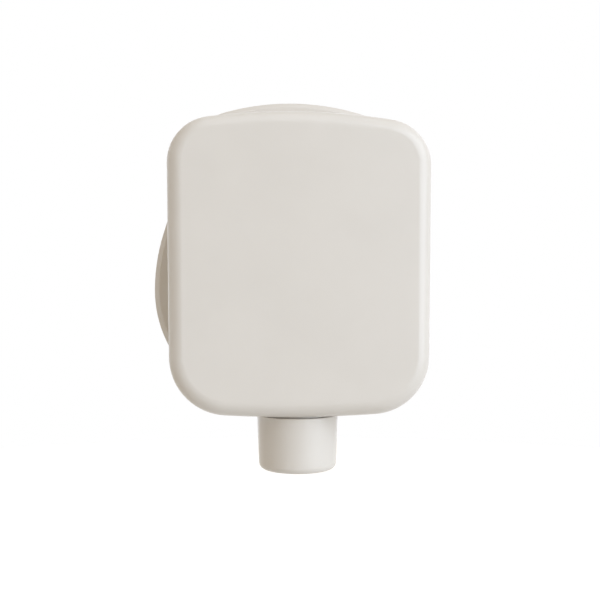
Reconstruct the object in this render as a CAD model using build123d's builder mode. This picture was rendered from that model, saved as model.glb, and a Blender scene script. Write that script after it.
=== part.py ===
"""Three-pin plug top: two moulded shells, three brass pins, terminals, cord clamp and fasteners.

X is across the plug, +Y is the way the pins go into a socket and +Z is up towards the earth pin.
The origin is on the engagement face, midway between the line and neutral pins. Depths are measured
back from the engagement face, towards -Y.
"""

import os
from math import cos, radians, sin, tan

from build123d import *

os.makedirs("parts", exist_ok=True)

# Depths, back from the engagement face
flange_t = 4.9
floor_t = 3.2
corner_floor = 1.6
parting_d = 12.3
back_d = 21.5
back_wall = 2.1

# Outline shared by the cover and the walls of the base, at the parting plane
body_top = 31.0
body_foot = -18.6
body_half_top = 21.67
body_half_foot = 21.04
crown_rise = 2.2
foot_rise = 1.15
top_corner_r = 7.6
foot_corner_r = 9.6
wall = 2.2
draft = 1.0
cover_edge_r = 2.6

# Tongue of the cover, which enters a rebate round the base's wall
tongue_h = 1.2
tongue_clear = 0.12
tongue_end_clear = 0.2

# Flange of the base: crowned top, leaning sides that bulge at flange_wide_z, round lower corners
flange_wide_z = 2.4
flange_half = 24.9
flange_top = 36.2
flange_crown_r = 43.6
flange_side_r = 34.4
flange_lean = 17.0
flange_low_r = 21.1
flange_corner_r = 9.0
flange_edge = 0.9

# Pins of the 6 A pattern
pole_spacing = 19.05
earth_up = 22.2
pole_r = 5.08 / 2
pole_len = 14.9
earth_r = 7.05 / 2
earth_len = 20.6
pin_root = 0.5
pin_clear = 0.1
tip_share = 0.5

# Square terminal heads of the pins, with a hole for the wire across them
pole_head = 8.0
pole_head_h = 7.0
earth_head = 9.2
earth_head_h = 7.6
head_edge = 0.4
wire_r = 1.6
wire_up = 3.4
pocket_wall = 1.4
pocket_h = 3.6
pocket_clear = 0.15

# Ribs of the cover that hold the heads down
hold_t = 1.0
hold_len = 6.0
hold_inset = 0.7

# Terminal screws
pole_screw_r = 1.5
pole_screw_head_r = 2.4
earth_screw_r = 1.75
earth_screw_head_r = 2.9
terminal_head_h = 1.9
thread_clear = 0.05

# Cover screw, its bosses and its square nut
boss_z = 10.0
base_boss_r = 4.6
cover_boss_r = 5.0
cover_screw_r = 1.75
cover_screw_clear = 0.2
cover_head_r = 3.2
cover_head_h = 2.2
cover_head_sunk = 0.6
cover_head_clear = 0.3
nut_side = 6.0
nut_t = 2.4
nut_clear = 0.1
nut_lip = 2.0
screw_past_nut = 0.8
screw_end_room = 0.6

# Cord collar: a neck through the body's wall, a shoulder just below it, a taper and the way in for the cord
collar_r = 6.85
collar_end = -27.9
collar_root = -15.0
collar_draft = 2.2
collar_end_edge = 0.6
collar_gap = 0.2
neck_r = 6.1
neck_clear = 0.25
cord_r = 4.2
cord_mouth_edge = 0.6

# Cord clamp on two posts, over a saddle rib
clamp_z = -11.2
post_x = 8.4
post_r = 3.0
post_d = 9.8
saddle_t = 1.8
saddle_rise = 0.6
saddle_ease = 0.4
clamp_width = 6.0
clamp_t = 2.6
clamp_tooth = 0.8
clamp_edge = 0.5
clamp_screw_r = 1.45
clamp_screw_head_r = 2.6
clamp_screw_head_h = 1.9
clamp_screw_bite = 5.0
clamp_hole_clear = 0.2

# Barriers between the terminals
barrier_t = 1.6
barrier_d = 11.0
barrier_foot = -8.0
barrier_reach = 14.0
cross_barrier_d = 8.4

# Places and depths that follow from the sizes above
pole_x = pole_spacing / 2
pole_places = [(-pole_x, 0), (pole_x, 0)]
earth_place = (0, earth_up)
pole_head_d = floor_t + pole_head_h
earth_head_d = floor_t + earth_head_h
wire_d = floor_t + wire_up
heads = [(place, pole_head, pole_head_d) for place in pole_places]
heads.append((earth_place, earth_head, earth_head_d))
clamp_places = [(-post_x, clamp_z), (post_x, clamp_z)]
clamp_seat_d = post_d + clamp_t
cover_seat_d = cover_head_sunk + cover_head_h
body_front_d = floor_t - corner_floor
base_depth = parting_d - body_front_d
cavity_back_d = back_d - back_wall
nut_d = parting_d + nut_lip
screw_end_d = nut_d + nut_t + screw_past_nut
saddle_d = parting_d - cord_r - saddle_ease + saddle_rise
collar_axis = Axis((0, -parting_d, 0), (0, 0, 1))
collar_top = body_foot - collar_gap
collar_tip_r = collar_r - (collar_top - collar_end) * tan(radians(collar_draft))
clamp_half = post_x + post_r
tooth_half = post_x - post_r

# Outline of the body, drawn once for both shells
with BuildSketch() as body_plan:
    with BuildLine():
        ThreePointArc(
            (-body_half_top, body_top - crown_rise),
            (0, body_top),
            (body_half_top, body_top - crown_rise),
        )
        Line((body_half_top, body_top - crown_rise), (body_half_foot, body_foot + foot_rise))
        ThreePointArc(
            (body_half_foot, body_foot + foot_rise),
            (0, body_foot),
            (-body_half_foot, body_foot + foot_rise),
        )
        Line((-body_half_foot, body_foot + foot_rise), (-body_half_top, body_top - crown_rise))
    make_face()
    fillet(body_plan.vertices().group_by(Axis.Y)[-1], top_corner_r)
    fillet(body_plan.vertices().group_by(Axis.Y)[0], foot_corner_r)

# Outline of the flange: arcs at the sides and foot, a straight lean and a crowned top
lean = radians(flange_lean)
side_x = flange_half - flange_side_r + flange_side_r * cos(lean)
side_z = flange_wide_z + flange_side_r * sin(lean)
lean_x = side_x - (flange_top - side_z) * tan(lean)
crown_drop = flange_crown_r - (flange_crown_r**2 - flange_half**2) ** 0.5
low_x = flange_half - flange_low_r
low_z = flange_wide_z - flange_low_r
low_turn = flange_low_r * cos(radians(45))
side_turn = lean / 2
with BuildSketch() as flange_plan:
    with BuildLine():
        for s in (1, -1):
            Line((s * lean_x, flange_top), (s * side_x, side_z))
            ThreePointArc(
                (s * side_x, side_z),
                (
                    s * (flange_half - flange_side_r + flange_side_r * cos(side_turn)),
                    flange_wide_z + flange_side_r * sin(side_turn),
                ),
                (s * flange_half, flange_wide_z),
            )
            ThreePointArc(
                (s * flange_half, flange_wide_z),
                (s * (low_x + low_turn), flange_wide_z - low_turn),
                (s * low_x, low_z),
            )
        Line((-low_x, low_z), (low_x, low_z))
        Line((-lean_x, flange_top), (lean_x, flange_top))
    make_face()
    with BuildLine():
        ThreePointArc(
            (-flange_half, flange_top - crown_drop),
            (0, flange_top),
            (flange_half, flange_top - crown_drop),
        )
        Line((flange_half, flange_top - crown_drop), (flange_half, low_z))
        Line((flange_half, low_z), (-flange_half, low_z))
        Line((-flange_half, low_z), (-flange_half, flange_top - crown_drop))
    make_face(mode=Mode.INTERSECT)
    fillet(flange_plan.vertices().group_by(Axis.Y)[-1], flange_corner_r)

# Front shell with the flange, pin pockets, barriers, clamp posts and the cord collar
with BuildPart() as pin_base:
    with BuildSketch(Plane.XZ):
        add(flange_plan.sketch_local)
    extrude(amount=flange_t)
    chamfer(pin_base.edges().filter_by(Plane.XZ), flange_edge)
    with BuildSketch(Plane.XZ.offset(body_front_d)):
        add(body_plan.sketch_local)
        offset(amount=base_depth * tan(radians(draft)))
    extrude(amount=base_depth, taper=draft)
    # Wiring space, with the rebate for the cover's tongue round its mouth
    with BuildSketch(Plane.XZ.offset(parting_d)):
        add(body_plan.sketch_local)
        offset(amount=-wall)
    extrude(amount=floor_t - parting_d, mode=Mode.SUBTRACT)
    with BuildSketch(Plane.XZ.offset(parting_d)):
        add(body_plan.sketch_local)
        offset(amount=-wall / 2)
    extrude(amount=-(tongue_h + tongue_end_clear), mode=Mode.SUBTRACT)
    # Pockets that keep the square heads from turning, open on the side where the wires come in
    with BuildSketch(Plane.XZ.offset(floor_t)):
        for place, head, _ in heads:
            slot = head + 2 * pocket_clear
            with Locations(place):
                Rectangle(slot + 2 * pocket_wall, slot + 2 * pocket_wall)
        for (x, z), head, _ in heads:
            slot = head + 2 * pocket_clear
            with Locations((x, z - pocket_wall / 2)):
                Rectangle(slot, slot + pocket_wall, mode=Mode.SUBTRACT)
    extrude(amount=pocket_h)
    # Boss of the cover screw and the barriers that meet it
    with BuildSketch(Plane.XZ.offset(floor_t)):
        with Locations((0, (barrier_foot + boss_z) / 2)):
            Rectangle(barrier_t, boss_z - barrier_foot)
    extrude(amount=barrier_d - floor_t)
    with BuildSketch(Plane.XZ.offset(floor_t)):
        with Locations((0, boss_z)):
            Rectangle(2 * barrier_reach, barrier_t)
    extrude(amount=cross_barrier_d - floor_t)
    with BuildSketch(Plane.XZ.offset(floor_t)):
        with Locations((0, boss_z)):
            Circle(base_boss_r)
    extrude(amount=parting_d - floor_t)
    # Posts and saddle rib of the cord clamp
    with BuildSketch(Plane.XZ.offset(floor_t)):
        with Locations((0, clamp_z)):
            Rectangle(2 * post_x, saddle_t)
    extrude(amount=saddle_d - floor_t)
    with BuildSketch(Plane.XZ.offset(floor_t)):
        with Locations(*clamp_places):
            Circle(post_r)
    extrude(amount=post_d - floor_t)
    # Collar on the parting plane, and the way through it for the cord
    with BuildSketch(Plane.XZ.offset(parting_d)):
        with BuildLine():
            Polyline(
                (0, collar_root),
                (neck_r, collar_root),
                (neck_r, collar_top),
                (collar_r, collar_top),
                (collar_tip_r, collar_end + collar_end_edge),
                (collar_tip_r - collar_end_edge, collar_end),
                (0, collar_end),
                close=True,
            )
        make_face()
    revolve(axis=collar_axis)
    with BuildSketch(Plane.XZ.offset(parting_d)):
        with BuildLine():
            Polyline(
                (0, collar_root),
                (cord_r, collar_root),
                (cord_r, collar_end + cord_mouth_edge),
                (cord_r + cord_mouth_edge, collar_end),
                (0, collar_end),
                close=True,
            )
        make_face()
    revolve(axis=collar_axis, mode=Mode.SUBTRACT)
    with BuildSketch(Plane((0, -parting_d, clamp_z), x_dir=(1, 0, 0), z_dir=(0, 0, -1))):
        Circle(cord_r + saddle_ease)
    extrude(amount=saddle_t, both=True, mode=Mode.SUBTRACT)
    # Holes for the pins, the cover screw and the clamp screws
    with BuildSketch(Plane.XZ.offset(floor_t)):
        with Locations(*pole_places):
            Circle(pole_r + pin_root + pin_clear)
        with Locations(earth_place):
            Circle(earth_r + pin_root + pin_clear)
    extrude(amount=-floor_t, mode=Mode.SUBTRACT)
    with BuildSketch(Plane.XZ):
        with Locations((0, boss_z)):
            Circle(cover_screw_r + cover_screw_clear)
    extrude(amount=parting_d, mode=Mode.SUBTRACT)
    with BuildSketch(Plane.XZ):
        with Locations((0, boss_z)):
            Circle(cover_head_r + cover_head_clear)
    extrude(amount=cover_seat_d, mode=Mode.SUBTRACT)
    with BuildSketch(Plane.XZ.offset(post_d)):
        with Locations(*clamp_places):
            Circle(clamp_screw_r + thread_clear)
    extrude(amount=-clamp_screw_bite - screw_end_room, mode=Mode.SUBTRACT)

# Back shell: drafted walls, filleted rim, tongue, nut boss, hold-down ribs and a notch over the collar
with BuildPart() as rear_cover:
    with BuildSketch(Plane.XZ.offset(parting_d)):
        add(body_plan.sketch_local)
    extrude(amount=back_d - parting_d, taper=draft)
    fillet(rear_cover.faces().sort_by(Axis.Y)[0].edges(), cover_edge_r)
    with BuildSketch(Plane.XZ.offset(parting_d)):
        add(body_plan.sketch_local)
        offset(amount=-wall)
    extrude(amount=cavity_back_d - parting_d, mode=Mode.SUBTRACT)
    with BuildSketch(Plane.XZ.offset(parting_d)):
        add(body_plan.sketch_local)
        offset(amount=-wall / 2 - tongue_clear)
        add(offset(body_plan.sketch_local, amount=-wall, mode=Mode.PRIVATE), mode=Mode.SUBTRACT)
    extrude(amount=-tongue_h)
    with BuildSketch(Plane.XZ.offset(parting_d)):
        with Locations((0, boss_z)):
            Circle(cover_boss_r)
    extrude(amount=cavity_back_d - parting_d)
    for (x, z), head, head_d in heads:
        hold_x = head / 2 - hold_inset
        with BuildSketch(Plane.XZ.offset(cavity_back_d)):
            with Locations((x - hold_x, z), (x + hold_x, z)):
                Rectangle(hold_t, hold_len)
        extrude(amount=head_d - cavity_back_d)
    # Slot and hole in the boss for the nut and the screw
    with BuildSketch(Plane.XZ.offset(nut_d)):
        with Locations((0, boss_z + cover_boss_r / 2)):
            Rectangle(nut_side + 2 * nut_clear, nut_side + 2 * nut_clear + cover_boss_r)
    extrude(amount=nut_t + nut_clear, mode=Mode.SUBTRACT)
    with BuildSketch(Plane.XZ.offset(parting_d)):
        with Locations((0, boss_z)):
            Circle(cover_screw_r + cover_screw_clear)
    extrude(amount=screw_end_d + screw_end_room - parting_d, mode=Mode.SUBTRACT)
    # Notch that clears the collar's neck
    notch_start = (0, -parting_d, collar_root + neck_clear)
    with BuildSketch(Plane(notch_start, x_dir=(1, 0, 0), z_dir=(0, 0, -1))):
        Circle(neck_r + neck_clear)
    extrude(amount=collar_root + neck_clear - collar_end, mode=Mode.SUBTRACT)


def turned_pin(place, radius, length, head, head_d, screw_r):
    """A turned pin whose square head is drilled across for the wire and tapped for the terminal screw."""
    x, z = place
    with BuildPart() as pin:
        with BuildSketch(Plane.XZ.offset(floor_t)):
            with Locations(place):
                Rectangle(head, head)
        extrude(amount=head_d - floor_t)
        chamfer(pin.edges(), head_edge)
        with BuildSketch(Plane.XZ.offset(floor_t)):
            with Locations(place):
                Circle(radius + pin_root)
        extrude(amount=-floor_t)
        with BuildSketch(Plane.XZ):
            with Locations(place):
                Circle(radius)
        extrude(amount=-length)
        chamfer(pin.edges().sort_by(Axis.Y)[-1], radius * tip_share)
        with BuildSketch(Plane((x, -wire_d, z - head / 2), z_dir=(0, 0, 1))):
            Circle(wire_r)
        extrude(amount=head, mode=Mode.SUBTRACT)
        with BuildSketch(Plane.XZ.offset(head_d)):
            with Locations(place):
                Circle(screw_r + thread_clear)
        extrude(amount=wire_d - head_d, mode=Mode.SUBTRACT)
    return pin


def cheese_screws(places, seat_d, head_d, tip_d, head_r, shank_r):
    """Screws whose heads reach from depth seat_d to head_d and whose shanks reach from seat_d to tip_d."""
    with BuildPart() as screws:
        for radius, end_d in ((head_r, head_d), (shank_r, tip_d)):
            with BuildSketch(Plane.XZ.offset(seat_d)):
                with Locations(*places):
                    Circle(radius)
            extrude(amount=end_d - seat_d)
    return screws


# Pins, the neutral one a mirror image of the line pin
earth_pin = turned_pin(earth_place, earth_r, earth_len, earth_head, earth_head_d, earth_screw_r)
line_pin = turned_pin((pole_x, 0), pole_r, pole_len, pole_head, pole_head_d, pole_screw_r)
with BuildPart() as neutral_pin:
    mirror(line_pin.part, about=Plane.YZ)

# Screws: those of the terminals press on the wires, those of the clamp bite in its posts
earth_terminal_screw = cheese_screws(
    [earth_place],
    seat_d=earth_head_d,
    head_d=earth_head_d + terminal_head_h,
    tip_d=wire_d,
    head_r=earth_screw_head_r,
    shank_r=earth_screw_r,
)
pole_terminal_screws = cheese_screws(
    pole_places,
    seat_d=pole_head_d,
    head_d=pole_head_d + terminal_head_h,
    tip_d=wire_d,
    head_r=pole_screw_head_r,
    shank_r=pole_screw_r,
)
clamp_screws = cheese_screws(
    clamp_places,
    seat_d=clamp_seat_d,
    head_d=clamp_seat_d + clamp_screw_head_h,
    tip_d=post_d - clamp_screw_bite,
    head_r=clamp_screw_head_r,
    shank_r=clamp_screw_r,
)
cover_screw = cheese_screws(
    [(0, boss_z)],
    seat_d=cover_seat_d,
    head_d=cover_head_sunk,
    tip_d=screw_end_d,
    head_r=cover_head_r,
    shank_r=cover_screw_r,
)

# Cord clamp, a bar with a tooth that grips the cord
with BuildPart() as cord_clamp:
    with BuildSketch(Plane.XZ.offset(post_d)):
        with Locations((0, clamp_z)):
            SlotOverall(2 * clamp_half, clamp_width)
    extrude(amount=clamp_t)
    chamfer(cord_clamp.faces().sort_by(Axis.Y)[0].edges(), clamp_edge)
    with BuildSketch(Plane.XZ.offset(post_d)):
        with Locations((0, clamp_z)):
            Rectangle(2 * tooth_half, saddle_t)
    extrude(amount=-clamp_tooth)
    with BuildSketch(Plane.XZ.offset(post_d)):
        with Locations(*clamp_places):
            Circle(clamp_screw_r + clamp_hole_clear)
    extrude(amount=clamp_t, mode=Mode.SUBTRACT)

# Square nut in the cover's boss
with BuildPart() as cover_nut:
    with BuildSketch(Plane.XZ.offset(nut_d)):
        with Locations((0, boss_z)):
            Rectangle(nut_side, nut_side)
            Circle(cover_screw_r + thread_clear, mode=Mode.SUBTRACT)
    extrude(amount=nut_t)

# One file for each piece
pieces = {
    "rear_cover": rear_cover,
    "pin_base": pin_base,
    "earth_pin": earth_pin,
    "line_pin": line_pin,
    "neutral_pin": neutral_pin,
    "earth_terminal_screw": earth_terminal_screw,
    "pole_terminal_screws": pole_terminal_screws,
    "cord_clamp": cord_clamp,
    "clamp_screws": clamp_screws,
    "cover_screw": cover_screw,
    "cover_nut": cover_nut,
}
for name, piece in pieces.items():
    piece.part.label = name
    export_step(piece.part, f"parts/{name}.step")
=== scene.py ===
"""Three-pin plug top: finishes, rounded edges, threaded fasteners and a studio around the packed solids."""

from math import cos, pi, radians, sin

import bmesh
import bpy
from bpy.props import FloatProperty, FloatVectorProperty, IntProperty, PointerProperty
from mathutils import Matrix, Vector


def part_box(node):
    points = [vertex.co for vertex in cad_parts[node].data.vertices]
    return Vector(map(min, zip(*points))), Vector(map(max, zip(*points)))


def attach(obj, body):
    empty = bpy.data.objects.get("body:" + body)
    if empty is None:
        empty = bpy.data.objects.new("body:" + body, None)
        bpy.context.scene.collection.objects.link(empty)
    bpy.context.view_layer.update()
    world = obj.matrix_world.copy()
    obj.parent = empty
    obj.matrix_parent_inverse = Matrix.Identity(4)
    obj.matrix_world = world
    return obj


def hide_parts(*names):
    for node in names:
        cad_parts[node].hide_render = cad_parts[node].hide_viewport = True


bl_info = {
    "name": "Three-pin plug top",
    "version": (1, 0, 0),
    "blender": (4, 5, 0),
    "location": "3D View > Sidebar > Plug",
    "description": "Finishes, rounded edges, threaded fasteners and a studio for a three-pin plug",
    "category": "Object",
}

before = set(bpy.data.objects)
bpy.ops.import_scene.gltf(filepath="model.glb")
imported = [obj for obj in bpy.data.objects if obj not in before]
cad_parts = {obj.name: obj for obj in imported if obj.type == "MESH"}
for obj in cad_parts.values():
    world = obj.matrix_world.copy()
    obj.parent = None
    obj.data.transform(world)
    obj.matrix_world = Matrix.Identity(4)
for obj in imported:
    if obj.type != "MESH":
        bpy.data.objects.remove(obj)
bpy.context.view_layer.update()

BODY = "root"
MM = 0.001

# Joining the solids' loose triangles and choosing the edges to round
JOIN_GAP = 0.001 * MM
FLAT_ANGLE = radians(0.3)
CHAMFER_ANGLES = (radians(30), radians(60))
SHARP_ANGLES = (radians(65), pi)
INNER_ANGLE = radians(20)
CORNER_REACH = 0.4 * MM
SMOOTH_ANGLE = radians(40)

# Finishes: the darkest and lightest share of a colour, the roughness, and the height of the bumps
IVORY_TONES = (0.97, 1.03)
IVORY_GLOSS_SPREAD = 0.03
IVORY_FLOW_HEIGHT = 0.02 * MM
IVORY_GRAIN_HEIGHT = 0.0008 * MM
SATIN_TONES = (0.96, 1.03)
SATIN_ROUGHNESS = (0.46, 0.58)
SATIN_GRAIN_HEIGHT = 0.006 * MM
BRASS_TONES = (0.94, 1.04)
BRASS_ROUGHNESS = (0.2, 0.3)
BRASS_RING_HEIGHT = 0.004 * MM
BRASS_RING_STRETCH = (0.004, 1, 0.004)
ZINC_TONES = (0.9, 1.06)
ZINC_ROUGHNESS = (0.27, 0.4)
ZINC_CLOUD_HEIGHT = 0.004 * MM
PLASTIC_IOR = 1.5
UNEVEN_LOW, UNEVEN_HIGH = 0.25, 0.75

# Sockets that are told apart by number: those of a mix of colours, and the number of a Random Value node
MIX_FACTOR, MIX_FIRST, MIX_SECOND, MIX_RESULT = 0, 6, 7, 2
RANDOM_NUMBER = 1

# Fasteners: numbers of faces, and shapes as shares of the sizes read from the solids
ROD_SIDES = 48
STEPS_PER_TURN = 10
HEAD_SIDES = 64
HEAD_STEPS = 8
HEAD_DRAWN_IN = 0.16
HEAD_CURVE = 6.0
HEAD_RIM = 0.99
SLOT_ACROSS = 2.4
NUT_CONE_TOP = 0.48
NUT_CONE_FOOT = 1.25

# Inputs of the fasteners' node trees
LENGTH = "NodeSocketFloat"
SEAT_INPUTS = {
    "Seats": "NodeSocketGeometry",
    "Facing": "NodeSocketVector",
    "Finish": "NodeSocketMaterial",
}
THREAD_INPUTS = {"Pitch": LENGTH, "Depth": LENGTH, "Lead": LENGTH}
ROD_INPUTS = {"Radius": LENGTH, "Length": LENGTH, **THREAD_INPUTS}
SCREW_INPUTS = {
    **SEAT_INPUTS,
    "Shank radius": LENGTH,
    "Shank length": LENGTH,
    "Head radius": LENGTH,
    "Head height": LENGTH,
    **THREAD_INPUTS,
    "Slot width": LENGTH,
    "Slot share": LENGTH,
    "Turn seed": "NodeSocketInt",
}
NUT_INPUTS = {**SEAT_INPUTS, "Side": LENGTH, "Thickness": LENGTH, "Bore radius": LENGTH, **THREAD_INPUTS}

# Studio
SENSOR_WIDTH = 36
CLIP_START = 5 * MM
FLOOR_SIDES = 96


class PlugFinishSettings(bpy.types.PropertyGroup):
    """Colours and surface detail of the plug's materials"""

    ivory: FloatVectorProperty(
        name="Ivory",
        description="Colour of the moulded shells",
        subtype="COLOR",
        min=0,
        max=1,
        default=(0.69, 0.655, 0.612),
    )
    gloss: FloatProperty(
        name="Shell roughness",
        description="Roughness of the polished mould",
        subtype="FACTOR",
        min=0,
        max=1,
        default=0.31,
    )
    flow_size: FloatProperty(
        name="Flow marks",
        description="Width of the broad, faint unevenness that the moulding leaves",
        unit="LENGTH",
        default=9 * MM,
    )
    grain_size: FloatProperty(
        name="Grain",
        description="Width of the finest unevenness of the moulded skin",
        unit="LENGTH",
        default=0.12 * MM,
    )
    satin: FloatVectorProperty(
        name="Satin ivory",
        description="Colour of the cord clamp",
        subtype="COLOR",
        min=0,
        max=1,
        default=(0.66, 0.62, 0.56),
    )
    brass: FloatVectorProperty(
        name="Brass",
        description="Colour of the turned pins",
        subtype="COLOR",
        min=0,
        max=1,
        default=(0.76, 0.56, 0.25),
    )
    turning_pitch: FloatProperty(
        name="Turning marks",
        description="Spacing of the fine rings that the lathe leaves on the pins",
        unit="LENGTH",
        default=0.11 * MM,
    )
    zinc: FloatVectorProperty(
        name="Zinc",
        description="Colour of the plated screws and the nut",
        subtype="COLOR",
        min=0,
        max=1,
        default=(0.60, 0.60, 0.58),
    )


class PlugEdgeSettings(bpy.types.PropertyGroup):
    """Rounding of the edges"""

    mould_edge: FloatProperty(
        name="Mould edge",
        description="Width of the slight rounding along the sharp edges of the moulded pieces",
        unit="LENGTH",
        default=0.1 * MM,
    )
    flange_round: FloatProperty(
        name="Flange rounding",
        description="Width of the rounding that softens each side of the flange's chamfers",
        unit="LENGTH",
        default=0.12 * MM,
    )
    collar_round: FloatProperty(
        name="Collar rounding",
        description="Width of the rounding that softens each side of the chamfers at the collar's end",
        unit="LENGTH",
        default=0.4 * MM,
    )
    collar_end: FloatProperty(
        name="Collar end",
        description="How far up from the collar's end its softer chamfers reach",
        unit="LENGTH",
        default=1 * MM,
    )
    clamp_round: FloatProperty(
        name="Clamp rounding",
        description="Width of the rounding that softens each side of the clamp's chamfers",
        unit="LENGTH",
        default=0.15 * MM,
    )
    pin_tip_round: FloatProperty(
        name="Pin tip rounding",
        description="Width of the rounding on the pins' tips",
        unit="LENGTH",
        default=0.5 * MM,
    )
    round_steps: IntProperty(
        name="Rounding steps",
        description="Faces across a rounded edge",
        min=1,
        default=3,
    )


class PlugThreadSettings(bpy.types.PropertyGroup):
    """Threads and driver slots of the fasteners"""

    pitch: FloatProperty(
        name="Pitch",
        description="Rise of the thread in one turn",
        unit="LENGTH",
        default=0.6 * MM,
    )
    depth: FloatProperty(
        name="Thread depth",
        description="From the thread's crest to its root",
        unit="LENGTH",
        default=0.33 * MM,
    )
    lead: FloatProperty(
        name="Lead-in",
        description="Length of the tapered end of a screw",
        unit="LENGTH",
        default=0.7 * MM,
    )
    slot_width: FloatProperty(
        name="Slot width",
        description="Width of the driver slot",
        unit="LENGTH",
        default=0.9 * MM,
    )
    slot_share: FloatProperty(
        name="Slot depth",
        description="Depth of the driver slot as a share of the head's height",
        subtype="FACTOR",
        min=0,
        max=1,
        default=0.5,
    )
    turn_seed: IntProperty(
        name="Turn seed",
        description="Seed of the angle at which each screw stopped turning",
        default=4,
    )


class PlugStageSettings(bpy.types.PropertyGroup):
    """Camera, lamps and floor"""

    target: FloatVectorProperty(
        name="Target",
        description="Point in the middle of the picture",
        subtype="TRANSLATION",
        unit="LENGTH",
        default=(1.34 * MM, 0, 0.67 * MM),
    )
    distance: FloatProperty(
        name="Distance",
        description="From the target to the camera",
        unit="LENGTH",
        default=146.6 * MM,
    )
    azimuth: FloatProperty(
        name="Azimuth",
        description="Turn of the camera round the plug, from straight behind it",
        subtype="ANGLE",
        default=radians(-4.3),
    )
    elevation: FloatProperty(
        name="Elevation",
        description="Height of the camera above the target, as an angle",
        subtype="ANGLE",
        default=radians(-0.9),
    )
    lens: FloatProperty(
        name="Lens",
        description="Focal length on a 36 mm sensor, in millimetres",
        default=47.4,
    )
    key_azimuth: FloatProperty(
        name="Key azimuth",
        description="Turn of the main lamp to the right of straight behind the plug",
        subtype="ANGLE",
        default=radians(45),
    )
    key_elevation: FloatProperty(
        name="Key elevation",
        description="Height of the main lamp as an angle",
        subtype="ANGLE",
        default=radians(18),
    )
    lamp_distance: FloatProperty(
        name="Lamp distance",
        description="From the target to each lamp",
        unit="LENGTH",
        default=1.5,
    )
    lamp_size: FloatProperty(
        name="Lamp size",
        description="Side of each square lamp but the fill lamp",
        unit="LENGTH",
        default=1.6,
    )
    key_level: FloatProperty(
        name="Key level",
        description="Light from the main lamp, where a small lamp at 1 shows a colour as written",
        default=1.01,
    )
    lamp_tint: FloatVectorProperty(
        name="Lamp tint",
        description="Colour of the lamps",
        subtype="COLOR",
        min=0,
        max=2,
        default=(0.875, 1.0, 1.155),
    )
    ambient: FloatVectorProperty(
        name="Ambient",
        description="Light that comes evenly from all round",
        subtype="COLOR",
        min=0,
        max=1,
        default=(0.38, 0.277, 0.142),
    )
    high_azimuth: FloatProperty(
        name="High azimuth",
        description="Turn of the high lamp to the right of straight behind the plug",
        subtype="ANGLE",
        default=radians(10),
    )
    high_elevation: FloatProperty(
        name="High elevation",
        description="Height of the high lamp as an angle",
        subtype="ANGLE",
        default=radians(65),
    )
    high_level: FloatProperty(
        name="High level",
        description="Light from the high lamp on a surface that faces it",
        default=0.306,
    )
    fill_size: FloatProperty(
        name="Fill size",
        description="Side of the square fill lamp, broad enough for its reflection to stay below white",
        unit="LENGTH",
        default=2,
    )
    fill_level: FloatProperty(
        name="Fill level",
        description="Light on the pins' side from a broad lamp that faces them",
        default=0.48,
    )
    rim_azimuth: FloatProperty(
        name="Rim azimuth",
        description="Turn of the rim lamp to the left of straight behind the plug",
        subtype="ANGLE",
        default=radians(105),
    )
    rim_level: FloatProperty(
        name="Rim level",
        description="Light along the left edges from the rim lamp",
        default=0.175,
    )
    floor_z: FloatProperty(
        name="Floor level",
        description="Height of the floor",
        unit="LENGTH",
        default=-0.12,
    )
    floor_radius: FloatProperty(
        name="Floor radius",
        description="Radius of the round floor",
        unit="LENGTH",
        default=0.6,
    )
    floor_colour: FloatVectorProperty(
        name="Floor colour",
        description="How much light of each colour the floor gives back",
        subtype="COLOR",
        min=0,
        max=1,
        default=(0.72, 0.73, 0.74),
    )
    floor_lift: FloatProperty(
        name="Floor lift",
        description="What is added to the floor in the picture, so that it shows white and keeps its shadow",
        default=0.6,
    )


# Node trees


def add_node(tree, kind, inputs=None, **settings):
    """Adds a node, sets its settings, and links or sets its inputs by name or number."""
    node = tree.nodes.new(kind)
    for name, value in settings.items():
        setattr(node, name, value)
    for key, value in (inputs or {}).items():
        if isinstance(value, bpy.types.NodeSocket):
            tree.links.new(value, node.inputs[key])
        else:
            node.inputs[key].default_value = value
    return node


def calculate(tree, operation, *terms):
    """The result of one step of arithmetic in a node tree."""
    return add_node(tree, "ShaderNodeMath", dict(enumerate(terms)), operation=operation).outputs[0]


def made_once(store, name, maker, *parts):
    """The material or node tree of that name, made the first time it is asked for."""
    return store.get(name) or maker(*parts)


# Finishes


def new_finish(name):
    """A material with its node tree, its shader and its Object coordinates."""
    finish = bpy.data.materials.new(name)
    finish.use_nodes = True
    tree = finish.node_tree
    place = add_node(tree, "ShaderNodeTexCoord").outputs["Object"]
    return finish, tree, tree.nodes["Principled BSDF"], place


def uneven(tree, place, size, detail=2.0, stretch=(1, 1, 1)):
    """Smooth unevenness from 0 to 1 with features about size wide, longer along small stretches."""
    mapped = add_node(tree, "ShaderNodeMapping", {"Vector": place, "Scale": stretch})
    inputs = {"Vector": mapped.outputs["Vector"], "Scale": 1 / size, "Detail": detail}
    return add_node(tree, "ShaderNodeTexNoise", inputs).outputs["Fac"]


def spread(tree, value, low, high):
    """Spreads the middle of a 0 to 1 unevenness between two values."""
    inputs = {
        "Value": value,
        "From Min": UNEVEN_LOW,
        "From Max": UNEVEN_HIGH,
        "To Min": low,
        "To Max": high,
    }
    return add_node(tree, "ShaderNodeMapRange", inputs).outputs["Result"]


def shaded(tree, value, colour, dark, light):
    """A colour that wanders between a darker and a lighter share of itself."""
    inputs = {
        MIX_FACTOR: value,
        MIX_FIRST: (*(part * dark for part in colour), 1),
        MIX_SECOND: (*(part * light for part in colour), 1),
    }
    return add_node(tree, "ShaderNodeMix", inputs, data_type="RGBA").outputs[MIX_RESULT]


def raised(tree, height, amount, under=None):
    """A bump of the given height in metres, on top of another bump where there is one."""
    inputs = {"Height": height, "Distance": amount, "Strength": 1.0}
    if under is not None:
        inputs["Normal"] = under
    return add_node(tree, "ShaderNodeBump", inputs).outputs["Normal"]


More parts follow.
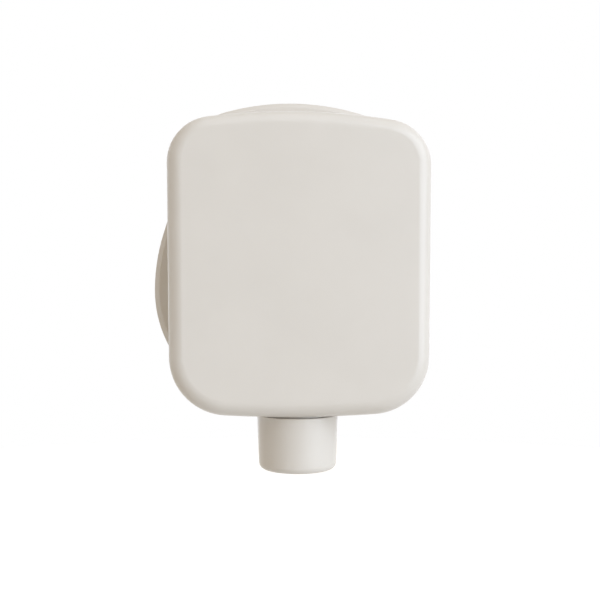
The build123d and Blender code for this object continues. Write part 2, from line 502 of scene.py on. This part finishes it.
def dress(tree, shader, colour, roughness, normal):
    """Links a finish's colour, roughness and bumps to its shader."""
    for name, socket in {"Base Color": colour, "Roughness": roughness, "Normal": normal}.items():
        tree.links.new(socket, shader.inputs[name])


def ivory_finish(settings):
    """Glossy moulded ivory plastic with faint flow marks and a fine skin."""
    finish, tree, shader, place = new_finish("ivory_plastic")
    flow = uneven(tree, place, settings.flow_size, detail=4)
    grain = uneven(tree, place, settings.grain_size)
    colour = shaded(tree, flow, settings.ivory, *IVORY_TONES)
    roughness = spread(
        tree, flow, settings.gloss - IVORY_GLOSS_SPREAD, settings.gloss + IVORY_GLOSS_SPREAD
    )
    skin = raised(tree, grain, IVORY_GRAIN_HEIGHT, raised(tree, flow, IVORY_FLOW_HEIGHT))
    dress(tree, shader, colour, roughness, skin)
    shader.inputs["IOR"].default_value = PLASTIC_IOR
    return finish


def satin_finish(settings):
    """Satin moulded plastic of the cord clamp, with an eroded skin."""
    finish, tree, shader, place = new_finish("satin_plastic")
    flow = uneven(tree, place, settings.flow_size / 3, detail=3)
    grain = uneven(tree, place, 2 * settings.grain_size)
    colour = shaded(tree, flow, settings.satin, *SATIN_TONES)
    roughness = spread(tree, grain, *SATIN_ROUGHNESS)
    dress(tree, shader, colour, roughness, raised(tree, grain, SATIN_GRAIN_HEIGHT))
    shader.inputs["IOR"].default_value = PLASTIC_IOR
    return finish


def brass_finish(settings):
    """Turned brass: rings round the pins, a slightly uneven tone and polished crests."""
    finish, tree, shader, place = new_finish("turned_brass")
    rings = uneven(tree, place, settings.turning_pitch, detail=4, stretch=BRASS_RING_STRETCH)
    tone = uneven(tree, place, 20 * settings.turning_pitch, detail=3)
    colour = shaded(tree, tone, settings.brass, *BRASS_TONES)
    roughness = spread(tree, rings, *BRASS_ROUGHNESS)
    dress(tree, shader, colour, roughness, raised(tree, rings, BRASS_RING_HEIGHT))
    shader.inputs["Metallic"].default_value = 1.0
    return finish


def zinc_finish(settings):
    """Bright zinc plate on steel, with a fine crystalline unevenness."""
    finish, tree, shader, place = new_finish("zinc_plate")
    cloud = uneven(tree, place, 4 * settings.grain_size, detail=4)
    colour = shaded(tree, cloud, settings.zinc, *ZINC_TONES)
    roughness = spread(tree, cloud, *ZINC_ROUGHNESS)
    dress(tree, shader, colour, roughness, raised(tree, cloud, ZINC_CLOUD_HEIGHT))
    shader.inputs["Metallic"].default_value = 1.0
    return finish


# Pieces made from the solids


def joined_copy(node):
    """A closed mesh from a solid's loose triangles, with flat faces made whole."""
    bm = bmesh.new()
    bm.from_mesh(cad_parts[node].data)
    bmesh.ops.remove_doubles(bm, verts=bm.verts, dist=JOIN_GAP)
    bmesh.ops.dissolve_limit(bm, angle_limit=FLAT_ANGLE, verts=bm.verts, edges=bm.edges)
    return bm


def inner_corners(bm):
    """The points on edges where faces meet at an inner corner."""
    inner = [e for e in bm.edges if not e.is_convex and e.calc_face_angle(0) > INNER_ANGLE]
    return {vert for edge in inner for vert in edge.verts}


def turning_edges(bm, low, high, test):
    """The outer edges whose faces turn by an angle in that range, where their middles pass the test."""
    for edge in bm.edges:
        middle = (edge.verts[0].co + edge.verts[1].co) / 2
        if edge.is_convex and low <= edge.calc_face_angle(0) <= high and test(middle):
            yield edge


def everywhere(middle):
    """The test that lets every edge through."""
    return True


def edges_between(bm, low, high, test=everywhere):
    """The turning edges in that range of angles, each up to a short way off an inner corner."""
    bm.normal_update()
    barred = inner_corners(bm)
    for edge in list(turning_edges(bm, low, high, test)):
        ends = barred.intersection(edge.verts)
        length = edge.calc_length()
        if len(ends) == 1 and length > 2 * CORNER_REACH:
            bmesh.utils.edge_split(edge, ends.pop(), CORNER_REACH / length)
    return [edge for edge in turning_edges(bm, low, high, test) if barred.isdisjoint(edge.verts)]


def round_edges(bm, edges, width, steps):
    """Rounds edges to that width, with that many faces across."""
    bmesh.ops.bevel(
        bm,
        geom=edges,
        offset=width,
        offset_type="OFFSET",
        segments=steps,
        profile=0.5,
        affect="EDGES",
        clamp_overlap=False,
    )


def make_plain(piece):
    """Bakes a piece's modifiers into its mesh and removes them."""
    evaluated = piece.evaluated_get(bpy.context.evaluated_depsgraph_get())
    mesh = bpy.data.meshes.new_from_object(evaluated)
    piece.modifiers.clear()
    piece.data = mesh
    mesh.name = piece.name


def smooth_between_edges(mesh):
    """Shades a mesh smooth, with crisp edges where it turns sharply."""
    mesh.shade_smooth()
    mesh.set_sharp_from_angle(angle=SMOOTH_ANGLE)


def stand_for(piece, node):
    """Ties a piece to the body and hides the solid that it replaces."""
    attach(piece, BODY)
    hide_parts(node)


def finished_piece(name, bm, node, finish):
    """A piece at the origin with smooth faces and crisp edges, which stands for a solid."""
    mesh = bpy.data.meshes.new(name)
    bm.to_mesh(mesh)
    bm.free()
    if "custom_normal" in mesh.attributes:
        mesh.attributes.remove(mesh.attributes["custom_normal"])
    mesh.materials.clear()
    mesh.materials.append(finish)
    smooth_between_edges(mesh)
    piece = bpy.data.objects.new(name, mesh)
    bpy.context.scene.collection.objects.link(piece)
    piece.modifiers.new("even_normals", "WEIGHTED_NORMAL").keep_sharp = True
    make_plain(piece)
    stand_for(piece, node)


def moulded_piece(node, name, finish, chamfer_rounds, edges):
    """A moulded piece: chamfers softened by their own widths, and the sharp edges slightly rounded."""
    bm = joined_copy(node)
    for width, test in chamfer_rounds:
        round_edges(bm, edges_between(bm, *CHAMFER_ANGLES, test), width, edges.round_steps)
    round_edges(bm, edges_between(bm, *SHARP_ANGLES), edges.mould_edge, edges.round_steps)
    finished_piece(name, bm, node, finish)


class PLUG_OT_shells(bpy.types.Operator):
    """Make the two moulded shells"""

    bl_idname = "plug.shells"
    bl_label = "Moulded shells"

    def execute(self, context):
        edges = context.scene.plug_edges
        finish = made_once(bpy.data.materials, "ivory_plastic", ivory_finish, context.scene.plug_finish)
        soft_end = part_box("pin_base")[0].z + edges.collar_end
        base_rounds = (
            (edges.collar_round, lambda middle: middle.z < soft_end),
            (edges.flange_round, lambda middle: middle.z > soft_end),
        )
        moulded_piece("rear_cover", "back_shell", finish, (), edges)
        moulded_piece("pin_base", "front_shell", finish, base_rounds, edges)
        return {"FINISHED"}


class PLUG_OT_clamp(bpy.types.Operator):
    """Make the cord clamp"""

    bl_idname = "plug.clamp"
    bl_label = "Cord clamp"

    def execute(self, context):
        edges = context.scene.plug_edges
        finish = made_once(bpy.data.materials, "satin_plastic", satin_finish, context.scene.plug_finish)
        rounds = ((edges.clamp_round, everywhere),)
        moulded_piece("cord_clamp", "clamp_bar", finish, rounds, edges)
        return {"FINISHED"}


class PLUG_OT_pins(bpy.types.Operator):
    """Make the three turned pins"""

    bl_idname = "plug.pins"
    bl_label = "Pins"

    def execute(self, context):
        edges = context.scene.plug_edges
        finish = made_once(bpy.data.materials, "turned_brass", brass_finish, context.scene.plug_finish)
        for use in ("earth", "line", "neutral"):
            bm = joined_copy(f"{use}_pin")
            tip = edges_between(bm, *CHAMFER_ANGLES, lambda middle: middle.y > 0)
            round_edges(bm, tip, edges.pin_tip_round, 2 * edges.round_steps)
            finished_piece(f"{use}_contact", bm, f"{use}_pin", finish)
        return {"FINISHED"}


# Fasteners


def new_tree(name, inputs):
    """A geometry node tree with named inputs, the sockets of those inputs and that of its result."""
    tree = bpy.data.node_groups.new(name, "GeometryNodeTree")
    for label, kind in inputs.items():
        tree.interface.new_socket(name=label, in_out="INPUT", socket_type=kind)
    tree.interface.new_socket(name="Geometry", in_out="OUTPUT", socket_type="NodeSocketGeometry")
    given = tree.nodes.new("NodeGroupInput").outputs
    return tree, given, tree.nodes.new("NodeGroupOutput").inputs["Geometry"]


def vector(tree, **parts):
    """A vector from its X, Y and Z, where one that isn't given is 0."""
    return add_node(tree, "ShaderNodeCombineXYZ", parts).outputs[0]


def vector_step(tree, operation, inputs):
    """The result of one step of arithmetic with vectors in a node tree."""
    return add_node(tree, "ShaderNodeVectorMath", inputs, operation=operation).outputs[0]


def points_and_axes(tree):
    """Each point's position, and its X, Y and Z."""
    point = add_node(tree, "GeometryNodeInputPosition").outputs[0]
    return point, add_node(tree, "ShaderNodeSeparateXYZ", {"Vector": point}).outputs


def moved(tree, geometry, offset):
    """Geometry moved as a whole."""
    inputs = {"Geometry": geometry, "Translation": offset}
    return add_node(tree, "GeometryNodeTransform", inputs).outputs["Geometry"]


def reshaped(tree, geometry, position):
    """Geometry with each point put in a new place."""
    inputs = {"Geometry": geometry, "Position": position}
    return add_node(tree, "GeometryNodeSetPosition", inputs).outputs["Geometry"]


def block(tree, size):
    """A block about the origin."""
    return add_node(tree, "GeometryNodeMeshCube", {"Size": size}).outputs["Mesh"]


def joined_meshes(tree, operation, first, second):
    """One closed mesh from two: both, what they share, or the first with the second cut out."""
    node = add_node(tree, "GeometryNodeMeshBoolean", operation=operation, solver="EXACT")
    tree.links.new(first, node.inputs["Mesh 1" if operation == "DIFFERENCE" else "Mesh 2"])
    tree.links.new(second, node.inputs["Mesh 2"])
    return node.outputs["Mesh"]


def seat_pieces(tree, given, shape, result, spin=None):
    """Ends a tree with a shape on each seat, facing the given way and spun about that, in its finish."""
    aim = add_node(tree, "FunctionNodeAlignRotationToVector", {"Vector": given["Facing"]}, axis="Z")
    rotation = aim.outputs["Rotation"]
    if spin is not None:
        turn = add_node(tree, "FunctionNodeEulerToRotation", {0: vector(tree, Z=spin)}).outputs[0]
        inputs = {"Rotation": rotation, "Rotate By": turn}
        spun = add_node(tree, "FunctionNodeRotateRotation", inputs, rotation_space="LOCAL")
        rotation = spun.outputs[0]
    inputs = {"Points": given["Seats"], "Instance": shape, "Rotation": rotation}
    placed = add_node(tree, "GeometryNodeInstanceOnPoints", inputs).outputs["Instances"]
    real = add_node(tree, "GeometryNodeRealizeInstances", {"Geometry": placed}).outputs["Geometry"]
    inputs = {"Geometry": real, "Material": given["Finish"]}
    tree.links.new(add_node(tree, "GeometryNodeSetMaterial", inputs).outputs["Geometry"], result)


def threaded_rod_tree():
    """A rod from the origin down its own Z axis, whose radius follows a helix and tapers at the end."""
    tree, given, result = new_tree("threaded_rod", ROD_INPUTS)
    turns = calculate(tree, "DIVIDE", given["Length"], given["Pitch"])
    inputs = {
        "Vertices": ROD_SIDES,
        "Side Segments": calculate(tree, "MULTIPLY", turns, STEPS_PER_TURN),
        "Radius": given["Radius"],
        "Depth": given["Length"],
    }
    blank = add_node(tree, "GeometryNodeMeshCylinder", inputs, fill_type="NGON").outputs["Mesh"]
    hung = moved(tree, blank, vector(tree, Z=calculate(tree, "MULTIPLY", given["Length"], -0.5)))

    _, axes = points_and_axes(tree)
    turned = calculate(tree, "DIVIDE", calculate(tree, "ARCTAN2", axes["Y"], axes["X"]), 2 * pi)
    climbed = calculate(tree, "DIVIDE", axes["Z"], given["Pitch"])
    phase = calculate(tree, "FRACT", calculate(tree, "SUBTRACT", climbed, turned))
    wave = calculate(tree, "SUBTRACT", calculate(tree, "MULTIPLY", phase, 2.0), 1.0)
    ridge = calculate(tree, "ABSOLUTE", wave)
    inputs = {
        "Value": calculate(tree, "ADD", axes["Z"], given["Length"]),
        "From Max": given["Lead"],
        "To Min": 1.0,
        "To Max": 0.0,
    }
    taper = add_node(tree, "ShaderNodeMapRange", inputs).outputs["Result"]
    cut = calculate(tree, "MULTIPLY", given["Depth"], calculate(tree, "MAXIMUM", ridge, taper))
    radius = calculate(tree, "SUBTRACT", given["Radius"], cut)

    outward = vector_step(tree, "NORMALIZE", {0: vector(tree, X=axes["X"], Y=axes["Y"])})
    across = vector_step(tree, "SCALE", {0: outward, "Scale": radius})
    place = vector_step(tree, "ADD", {0: across, 1: vector(tree, Z=axes["Z"])})
    tree.links.new(reshaped(tree, hung, place), result)
    return tree


def threaded_rod(tree, rod_tree, radius, length, given):
    """The threaded rod in another tree, with that tree's thread."""
    inputs = {"Radius": radius, "Length": length, **{name: given[name] for name in THREAD_INPUTS}}
    return add_node(tree, "GeometryNodeGroup", inputs, node_tree=rod_tree).outputs["Geometry"]


def screw_head(tree, given):
    """A cheese head that stands on the origin and rounds off towards its top."""
    inputs = {
        "Vertices": HEAD_SIDES,
        "Side Segments": HEAD_STEPS,
        "Fill Segments": HEAD_STEPS,
        "Radius": given["Head radius"],
        "Depth": given["Head height"],
    }
    blank = add_node(tree, "GeometryNodeMeshCylinder", inputs, fill_type="TRIANGLE_FAN").outputs["Mesh"]
    stood = moved(tree, blank, vector(tree, Z=calculate(tree, "MULTIPLY", given["Head height"], 0.5)))
    point, axes = points_and_axes(tree)
    height = calculate(tree, "DIVIDE", axes["Z"], given["Head height"])
    drawn_in = calculate(tree, "MULTIPLY", calculate(tree, "POWER", height, HEAD_CURVE), HEAD_DRAWN_IN)
    kept = calculate(tree, "SUBTRACT", 1.0, drawn_in)
    place = vector_step(tree, "MULTIPLY", {0: point, 1: vector(tree, X=kept, Y=kept, Z=1.0)})
    return reshaped(tree, stood, place)


def driver_slot(tree, given):
    """The block that cuts the driver slot across a head."""
    deep = calculate(tree, "MULTIPLY", given["Head height"], given["Slot share"])
    across = calculate(tree, "MULTIPLY", given["Head radius"], SLOT_ACROSS)
    size = vector(tree, X=across, Y=given["Slot width"], Z=calculate(tree, "MULTIPLY", deep, 2.0))
    return moved(tree, block(tree, size), vector(tree, Z=given["Head height"]))


def screw_tree(rod_tree):
    """Slotted screws on seat points, each turned about its axis by a seeded angle."""
    tree, given, result = new_tree("slotted_screw", SCREW_INPUTS)
    rod = threaded_rod(tree, rod_tree, given["Shank radius"], given["Shank length"], given)
    blank = joined_meshes(tree, "UNION", screw_head(tree, given), rod)
    screw = joined_meshes(tree, "DIFFERENCE", blank, driver_slot(tree, given))
    inputs = {"Max": 2 * pi, "Seed": given["Turn seed"]}
    spin = add_node(tree, "FunctionNodeRandomValue", inputs, data_type="FLOAT").outputs[RANDOM_NUMBER]
    seat_pieces(tree, given, screw, result, spin)
    return tree


def nut_tree(rod_tree):
    """A square nut with a threaded bore and corners turned down on one face."""
    tree, given, result = new_tree("square_nut", NUT_INPUTS)
    square = block(tree, vector(tree, X=given["Side"], Y=given["Side"], Z=given["Thickness"]))
    inputs = {
        "Vertices": HEAD_SIDES,
        "Radius Top": calculate(tree, "MULTIPLY", given["Side"], NUT_CONE_TOP),
        "Radius Bottom": calculate(tree, "MULTIPLY", given["Side"], NUT_CONE_FOOT),
        "Depth": given["Thickness"],
    }
    turned = add_node(tree, "GeometryNodeMeshCone", inputs, fill_type="NGON").outputs["Mesh"]
    cone = moved(tree, turned, vector(tree, Z=calculate(tree, "MULTIPLY", given["Thickness"], -0.5)))
    blank = joined_meshes(tree, "INTERSECT", square, cone)
    through = calculate(tree, "MULTIPLY", given["Thickness"], 2.0)
    rod = threaded_rod(tree, rod_tree, given["Bore radius"], through, given)
    tap = moved(tree, rod, vector(tree, Z=given["Thickness"]))
    seat_pieces(tree, given, joined_meshes(tree, "DIFFERENCE", blank, tap), result)
    return tree


def tree_with_thread(name, maker):
    """The fastener's tree of that name, which holds the tree of the threaded rod."""
    rod_tree = made_once(bpy.data.node_groups, "threaded_rod", threaded_rod_tree)
    return made_once(bpy.data.node_groups, name, maker, rod_tree)


def thread_values(thread, finish):
    """The inputs that every threaded fastener takes."""
    return {"Pitch": thread.pitch, "Depth": thread.depth, "Lead": thread.lead, "Finish": finish}


def grown_piece(name, points, tree, values, node):
    """A piece that a node tree grows on points, made a plain mesh that stands for a solid."""
    mesh = bpy.data.meshes.new(name)
    mesh.from_pydata([tuple(p) for p in points], [], [])
    piece = bpy.data.objects.new(name, mesh)
    modifier = piece.modifiers.new("grow", "NODES")
    modifier.node_group = tree
    for item in tree.interface.items_tree:
        if item.in_out == "INPUT" and item.name in values:
            modifier[item.identifier] = values[item.name]
    bpy.context.scene.collection.objects.link(piece)
    make_plain(piece)
    if not piece.data.polygons:
        raise RuntimeError(f"{name} came out empty")
    smooth_between_edges(piece.data)
    stand_for(piece, node)


def screw_sizes(node, count, head_towards):
    """Seat points and sizes of a node's equal screws, side by side along X, read from the solids."""
    low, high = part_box(node)
    points = [v.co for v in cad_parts[node].data.vertices]
    tip_y = low.y if head_towards > 0 else high.y
    top_y = high.y if head_towards > 0 else low.y
    head_radius = (high.z - low.z) / 2
    middle_z = (high.z + low.z) / 2
    if count == 1:
        middles = [(low.x + high.x) / 2]
    else:
        middles = [low.x + head_radius, high.x - head_radius]
    near_tip = [p for p in points if abs(p.y - tip_y) < JOIN_GAP]
    shank_radius = max(p.z for p in near_tip) - middle_z
    wide = [p.y for p in points if abs(p.z - middle_z) > HEAD_RIM * head_radius]
    seat_y = min(wide) if head_towards > 0 else max(wide)
    seats = [Vector((x, seat_y, middle_z)) for x in middles]
    sizes = {
        "Facing": (0, head_towards, 0),
        "Shank radius": shank_radius,
        "Shank length": abs(tip_y - seat_y),
        "Head radius": head_radius,
        "Head height": abs(top_y - seat_y),
    }
    return seats, sizes


class PLUG_OT_screws(bpy.types.Operator):
    """Make the slotted screws of the terminals, the clamp and the cover"""

    bl_idname = "plug.screws"
    bl_label = "Screws"

    def execute(self, context):
        thread = context.scene.plug_thread
        finish = made_once(bpy.data.materials, "zinc_plate", zinc_finish, context.scene.plug_finish)
        tree = tree_with_thread("slotted_screw", screw_tree)
        # Node, piece, number of screws, and which way along Y their heads face
        groups = (
            ("earth_terminal_screw", "earth_wire_screw", 1, -1),
            ("pole_terminal_screws", "pole_wire_screws", 2, -1),
            ("clamp_screws", "clamp_bar_screws", 2, -1),
            ("cover_screw", "closing_screw", 1, 1),
        )
        for node, name, count, head_towards in groups:
            seats, sizes = screw_sizes(node, count, head_towards)
            values = {
                **sizes,
                **thread_values(thread, finish),
                "Slot width": thread.slot_width,
                "Slot share": thread.slot_share,
                "Turn seed": thread.turn_seed,
            }
            grown_piece(name, seats, tree, values, node)
        return {"FINISHED"}


class PLUG_OT_nut(bpy.types.Operator):
    """Make the square nut of the cover screw"""

    bl_idname = "plug.nut"
    bl_label = "Cover nut"

    def execute(self, context):
        finish = made_once(bpy.data.materials, "zinc_plate", zinc_finish, context.scene.plug_finish)
        tree = tree_with_thread("square_nut", nut_tree)
        low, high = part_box("cover_nut")
        _, screw = screw_sizes("cover_screw", 1, 1)
        values = {
            **thread_values(context.scene.plug_thread, finish),
            "Facing": (0, 1, 0),
            "Side": high.x - low.x,
            "Thickness": high.y - low.y,
            "Bore radius": screw["Shank radius"],
        }
        grown_piece("closing_nut", [(low + high) / 2], tree, values, "cover_nut")
        return {"FINISHED"}


# Studio


def seen_directly(tree):
    """1 for what the camera sees straight, mirrored or through glass, and 0 for light on the object."""
    path = add_node(tree, "ShaderNodeLightPath").outputs
    seen = calculate(tree, "MAXIMUM", path["Is Camera Ray"], path["Is Glossy Ray"])
    return calculate(tree, "MAXIMUM", seen, path["Is Transmission Ray"])


def white_world(scene, stage):
    """A world that shows white and lights the object with the ambient colour."""
    world = bpy.data.worlds.new("studio")
    world.use_nodes = True
    tree = world.node_tree
    tree.nodes.clear()
    light = add_node(tree, "ShaderNodeBackground", {"Color": (*stage.ambient, 1), "Strength": 1.0})
    white = add_node(tree, "ShaderNodeBackground", {"Color": (1, 1, 1, 1), "Strength": 1.0})
    inputs = {0: seen_directly(tree), 1: light.outputs[0], 2: white.outputs[0]}
    mixed = add_node(tree, "ShaderNodeMixShader", inputs)
    add_node(tree, "ShaderNodeOutputWorld", {"Surface": mixed.outputs[0]})
    scene.world = world


def floor_finish(stage):
    """A pale floor that shows white in the picture and keeps its shadow."""
    finish = bpy.data.materials.new("pale_floor")
    finish.use_nodes = True
    tree = finish.node_tree
    tree.nodes.clear()
    matt = add_node(tree, "ShaderNodeBsdfDiffuse", {"Color": (*stage.floor_colour, 1)})
    strength = calculate(tree, "MULTIPLY", seen_directly(tree), stage.floor_lift)
    lift = add_node(tree, "ShaderNodeEmission", {"Strength": strength})
    both = add_node(tree, "ShaderNodeAddShader", {0: matt.outputs[0], 1: lift.outputs[0]})
    add_node(tree, "ShaderNodeOutputMaterial", {"Surface": both.outputs[0]})
    return finish


def round_floor(scene, stage):
    """The floor, a wide disc well below the plug."""
    bm = bmesh.new()
    bmesh.ops.create_circle(bm, cap_ends=True, segments=FLOOR_SIDES, radius=stage.floor_radius)
    bmesh.ops.translate(bm, verts=bm.verts, vec=(0, 0, stage.floor_z))
    mesh = bpy.data.meshes.new("floor")
    bm.to_mesh(mesh)
    bm.free()
    mesh.materials.append(floor_finish(stage))
    floor = bpy.data.objects.new("floor", mesh)
    scene.collection.objects.link(floor)


def direction(azimuth, elevation):
    """The unit vector from the plug to a place seen at those angles from straight behind it."""
    return Vector((sin(azimuth) * cos(elevation), -cos(azimuth) * cos(elevation), sin(elevation)))


def placed_facing(stage, distance, azimuth, elevation):
    """The matrix of a thing at those angles and that distance, whose -Z axis looks at the target."""
    towards = direction(azimuth, elevation)
    place = Vector(stage.target) + distance * towards
    return Matrix.Translation(place) @ towards.to_track_quat("Z", "Y").to_matrix().to_4x4()


def add_camera(scene, stage):
    """The camera at the photograph's angle."""
    data = bpy.data.cameras.new("camera")
    data.sensor_width = SENSOR_WIDTH
    data.lens = stage.lens
    data.clip_start = CLIP_START
    camera = bpy.data.objects.new("camera", data)
    camera.matrix_world = placed_facing(stage, stage.distance, stage.azimuth, stage.elevation)
    scene.collection.objects.link(camera)
    scene.camera = camera


def add_lamp(scene, stage, name, azimuth, elevation, size, level):
    """A broad lamp at those angles from the plug, with the power that gives its level if it is small."""
    data = bpy.data.lights.new(name, "AREA")
    data.size = size
    data.energy = level * pi * pi * stage.lamp_distance**2
    data.color = stage.lamp_tint
    lamp = bpy.data.objects.new(name, data)
    lamp.matrix_world = placed_facing(stage, stage.lamp_distance, azimuth, elevation)
    lamp.visible_camera = False
    scene.collection.objects.link(lamp)


class PLUG_OT_stage(bpy.types.Operator):
    """Set the floor, the world, the lamps and the camera"""

    bl_idname = "plug.stage"
    bl_label = "Studio"

    def execute(self, context):
        stage = context.scene.plug_stage
        round_floor(context.scene, stage)
        white_world(context.scene, stage)
        lamps = {
            "key": (stage.key_azimuth, stage.key_elevation, stage.lamp_size, stage.key_level),
            "high": (stage.high_azimuth, stage.high_elevation, stage.lamp_size, stage.high_level),
            "fill": (pi, 0, stage.fill_size, stage.fill_level),
            "rim": (-stage.rim_azimuth, 0, stage.lamp_size, stage.rim_level),
        }
        for name, placing in lamps.items():
            add_lamp(context.scene, stage, name, *placing)
        add_camera(context.scene, stage)
        context.scene.view_settings.view_transform = "Standard"
        return {"FINISHED"}


# Panel and running


STEPS = (PLUG_OT_shells, PLUG_OT_clamp, PLUG_OT_pins, PLUG_OT_screws, PLUG_OT_nut, PLUG_OT_stage)
SETTINGS = {
    "plug_finish": PlugFinishSettings,
    "plug_edges": PlugEdgeSettings,
    "plug_thread": PlugThreadSettings,
    "plug_stage": PlugStageSettings,
}


class PLUG_PT_steps(bpy.types.Panel):
    """Steps and settings of the plug"""

    bl_idname = "PLUG_PT_steps"
    bl_label = "Three-pin plug top"
    bl_space_type = "VIEW_3D"
    bl_region_type = "UI"
    bl_category = "Plug"

    def draw(self, context):
        for step in STEPS:
            self.layout.operator(step.bl_idname)
        for name, group in SETTINGS.items():
            box = self.layout.box()
            box.label(text=group.__doc__)
            for field in group.__annotations__:
                box.prop(getattr(context.scene, name), field)


def register():
    for kind in (*SETTINGS.values(), *STEPS, PLUG_PT_steps):
        bpy.utils.register_class(kind)
    for name, group in SETTINGS.items():
        setattr(bpy.types.Scene, name, PointerProperty(type=group))


def unregister():
    for name in SETTINGS:
        delattr(bpy.types.Scene, name)
    for kind in reversed((*SETTINGS.values(), *STEPS, PLUG_PT_steps)):
        bpy.utils.unregister_class(kind)


def main():
    register()
    bpy.ops.plug.shells()
    bpy.ops.plug.clamp()
    bpy.ops.plug.pins()
    bpy.ops.plug.screws()
    bpy.ops.plug.nut()
    bpy.ops.plug.stage()


if __name__ == "__main__":
    main()
